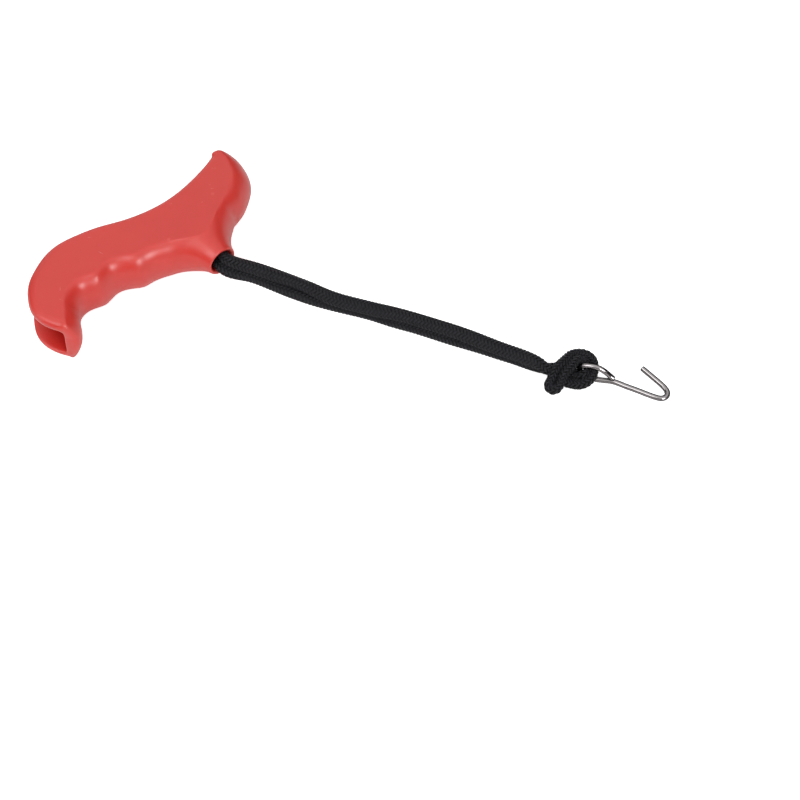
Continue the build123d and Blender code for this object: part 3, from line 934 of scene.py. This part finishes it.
t = np.linspace(0, FULL_TURN, 40)
tubes = TubeMesh()
braid_whole(tubes, np.stack([STOPPER_X - np.sin(3 * t) * TREFOIL_DEPTH,
                             (np.sin(t) + 2 * np.sin(2 * t)) * TREFOIL_SIZE,
                             MID + (np.cos(t) - 2 * np.cos(2 * t)) * TREFOIL_SIZE], 1), 2.02)
tails = []
for side, strand in ((1, first_strand), (-1, second_strand)):
    x, y, z = resample(np.array([CORD_START]), cord_at, strand)[0]
    lead = [(x, y, z), (x - 2.0, y * 0.95, z - side * 0.15),
            (x - 4.4, y + side * 0.5, z - side * 0.5),
            (STOPPER_X + 0.4, 1.2 * side, MID + side * 2.1)]
    braid_whole(tubes, lead, 2.1)
    tail = [(STOPPER_X - 1.0, -1.0 * side, MID + 1.6 * side),
            (STOPPER_X - 4.0, -1.8 * side, MID + 2.1 * side),
            (STOPPER_X - 7.5, -2.3 * side, MID + 2.3 * side),
            (STOPPER_X - 10.6 - 0.8 * side, -2.7 * side - 0.4, MID + 2.2 * side)]
    tails.append(braid_whole(tubes, tail, 2.05))
stopper = tubes.make("stopper_knot_cord", CORD_MATERIAL)
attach(stopper, "cord_root")
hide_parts("stopper_knot")

# melted beads on the two cut ends: distance past the end, radius
BEAD = [(-0.5, 1.95), (-0.1, 2.12), (0.35, 2.10), (0.75, 1.75), (1.0, 1.1), (1.1, 0.4)]
tubes = TubeMesh()
angle = round_angles(28)
for tail in tails:
    centre = tail.centre[-1]
    ahead = unit(centre - tail.centre[-4])
    lump = 1 + 0.05 * np.sin(3 * angle + centre[1]) + 0.03 * np.sin(5 * angle + 1.0)
    tubes.tube(np.stack([centre + ahead * past
                         + (np.cos(angle) * lump)[:, None] * tail.out[-1] * radius
                         + (np.sin(angle) * lump)[:, None] * tail.across[-1] * radius
                         for past, radius in BEAD]))
bead = tubes.make("cut_ends", CUT_MATERIAL)
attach(bead, "cord_root")

# ------------------------------------------------------------------ wire hook
WIRE_RADIUS = 1.18
BEVEL = 0.28            # length of the rounding at the cut ends
# centre line, from the free end round the bend and the eye: x, y, z
WIRE = [
    (180.38, 98.21, 1.18), (184.4, 98.16, 1.18), (188.35, 98.08, 1.18), (191.4, 97.98, 1.18),
    (193.9, 97.66, 1.18), (195.95, 96.7, 1.18), (196.85, 94.85, 1.18), (196.15, 92.9, 1.18),
    (194.2, 91.5, 1.18), (190.6, 89.95, 1.18), (185.5, 87.95, 1.18), (180.8, 86.02, 1.18),
    (176.58, 84.27, 1.18), (173.99, 82.4, 1.18), (171.24, 80.2, 1.18), (167.84, 78.38, 1.2),
    (164.8, 77.3, 2.2), (163.3, 76.85, 4.3), (164.1, 77.3, 6.7), (166.6, 78.95, 8.1),
    (169.9, 80.95, 8.0), (172.5, 82.4, 6.5), (174.7, 83.5, 4.5), (176.3, 84.05, 3.4),
]


def build_hook():
    line = natural_spline(WIRE, 24)
    line_at = lengths(line)
    total = line_at[-1]
    middle = np.linspace(BEVEL + 0.2, total - BEVEL - 0.2, int(total / 0.22))
    at = np.r_[0.0, BEVEL * 0.5, BEVEL, middle, total - BEVEL, total - BEVEL * 0.5, total]
    line = resample(at, line_at, line)
    tangent = unit(np.gradient(line, at, axis=0))
    normal = carried_normals(tangent, (0, 0, 1))
    sideways = np.cross(tangent, normal)
    radius = np.full(len(line), WIRE_RADIUS)
    radius[[0, -1]] = WIRE_RADIUS - BEVEL * 0.75
    radius[[1, -2]] = WIRE_RADIUS - BEVEL * 0.22
    angle = round_angles(32)
    tubes = TubeMesh()
    tubes.tube(line[:, None] + normal[:, None] * (np.cos(angle) * radius[:, None])[..., None]
               + sideways[:, None] * (np.sin(angle) * radius[:, None])[..., None], along=at)
    return tubes.make("bent_wire_hook", WIRE_MATERIAL)


hook = build_hook()
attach(hook, "wire_hook")
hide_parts("wire_hook")

# ------------------------------------------------------------------ floor and world (metres)
FLOOR_HALF = 1.6
FLOOR_CELLS = 8
FLOOR_X = 0.1           # x of the floor's centre
FLOOR_Z = -0.0001       # just under the product


def pale_floor():
    nodes = material_nodes("pale_floor")
    cloud = nodes.noise(nodes.coords(), scale=8.0, detail=3.0)
    tone = nodes.mix(cloud, low=(0.93, 0.93, 0.93, 1), high=(0.96, 0.96, 0.96, 1))
    rays = nodes.add("LightPath").outputs
    # darker in reflections, brighter to the camera
    colour = nodes.mix(rays["Is Glossy Ray"], low=tone, high=(0.80, 0.78, 0.78, 1))
    diffuse = nodes.add("BsdfDiffuse", {"Color": colour})
    glow = nodes.add("Emission", {"Color": (1, 1, 1, 1),
                                  "Strength": nodes.scaled(rays["Is Camera Ray"], gain=0.74)})
    return nodes.finish(nodes.add("AddShader", {0: diffuse.outputs[0], 1: glow.outputs[0]}))


def build_floor():
    mesh = bpy.data.meshes.new("floor")
    ticks = [(i / FLOOR_CELLS - 0.5) * 2 * FLOOR_HALF for i in range(FLOOR_CELLS + 1)]
    row = len(ticks)
    corners = [i * row + j for i in range(FLOOR_CELLS) for j in range(FLOOR_CELLS)]
    mesh.from_pydata([(x + FLOOR_X, y, FLOOR_Z) for x in ticks for y in ticks], [],
                     [(a, a + row, a + row + 1, a + 1) for a in corners])
    mesh.materials.append(pale_floor())
    floor = bpy.data.objects.new("floor", mesh)
    bpy.context.scene.collection.objects.link(floor)
    return floor


def build_world():
    """White to the camera; bright overhead and dark near the horizon for everything else."""
    nodes = Nodes(bpy.data.worlds.new("studio"), "OutputWorld")
    to_camera = nodes.add("LightPath").outputs["Is Camera Ray"]
    backdrop = nodes.add("Background", {"Color": (1, 1, 1, 1), "Strength": 1.05})
    # from -1..1 to 0..1
    height = nodes.math("MULTIPLY_ADD", nodes.split(nodes.coords("Generated"))["Z"], 0.5, 0.5)
    sky = nodes.ramp(height, stops=[(0.0, 0.45), (0.49, 0.35), (0.51, 0.03), (0.76, 0.05),
                                    (0.84, 0.80), (1.0, 1.0)])
    around = nodes.add("Background", {"Color": sky, "Strength": 0.95})
    return nodes.finish(nodes.add("MixShader", {"Fac": to_camera, 1: around.outputs[0],
                                                2: backdrop.outputs[0]}))


build_floor()
scene = bpy.context.scene
scene.world = build_world()

# ------------------------------------------------------------------ camera and lights
VIEW_TURN = math.radians(46.5)      # the camera's turn about z
VIEW_RIGHT = Vector((math.cos(VIEW_TURN), math.sin(VIEW_TURN), 0))
VIEW_AWAY = Vector((-math.sin(VIEW_TURN), math.cos(VIEW_TURN), 0))
CAMERA_PLACE = Vector((329.04, -185.71, 482.08)) * MM
CAMERA_TARGET = Vector((120.083, 12.577, 0.0)) * MM
LIGHT_TARGET = Vector((0.06, 0.0, 0.0))

# name, direction from the target (right, away, up as the camera sees it), distance,
# width, height (metres), power (watts)
LIGHTS = [
    ("top_softbox", (-0.45, -0.55, 1.0), 0.9, 0.6, 0.6, 2.5),
    ("left_softbox", (-1.0, -0.2, 0.55), 0.9, 0.35, 0.7, 1.0),
    ("right_softbox", (0.54, -0.68, 0.50), 1.0, 0.34, 0.32, 3.8),
    ("front_softbox", (0.15, -1.0, 0.42), 1.1, 1.0, 0.5, 0.3),
    ("back_softbox", (-0.4, 1.0, 0.42), 1.1, 0.9, 0.35, 1.2),
]


def add_posed(name, data, location, rotation):
    obj = bpy.data.objects.new(name, data)
    scene.collection.objects.link(obj)
    obj.location = location
    obj.rotation_mode = "QUATERNION"
    obj.rotation_quaternion = rotation
    return obj


def add_camera():
    data = bpy.data.cameras.new("camera")
    data.sensor_width = 36.0
    data.lens = 59.715
    data.clip_start = 0.01
    data.clip_end = 10.0
    forward = (CAMERA_TARGET - CAMERA_PLACE).normalized()
    axes = Matrix((VIEW_RIGHT, VIEW_RIGHT.cross(forward), -forward)).transposed()
    scene.camera = add_posed("camera", data, CAMERA_PLACE, axes.to_quaternion())


def add_light(name, direction, distance, width, height, power):
    data = bpy.data.lights.new(name, "AREA")
    data.shape = "RECTANGLE"
    data.size = width
    data.size_y = height
    data.energy = power
    right, away, up = direction
    towards = VIEW_RIGHT * right + VIEW_AWAY * away + Vector((0, 0, 1)) * up
    location = LIGHT_TARGET + towards.normalized() * distance
    add_posed(name, data, location, (LIGHT_TARGET - location).to_track_quat("-Z", "Y"))


add_camera()
for light in LIGHTS:
    add_light(*light)

scene.view_settings.view_transform = "Standard"
scene.view_settings.look = "None"
scene.view_settings.exposure = 0.0
scene.view_settings.gamma = 1.0
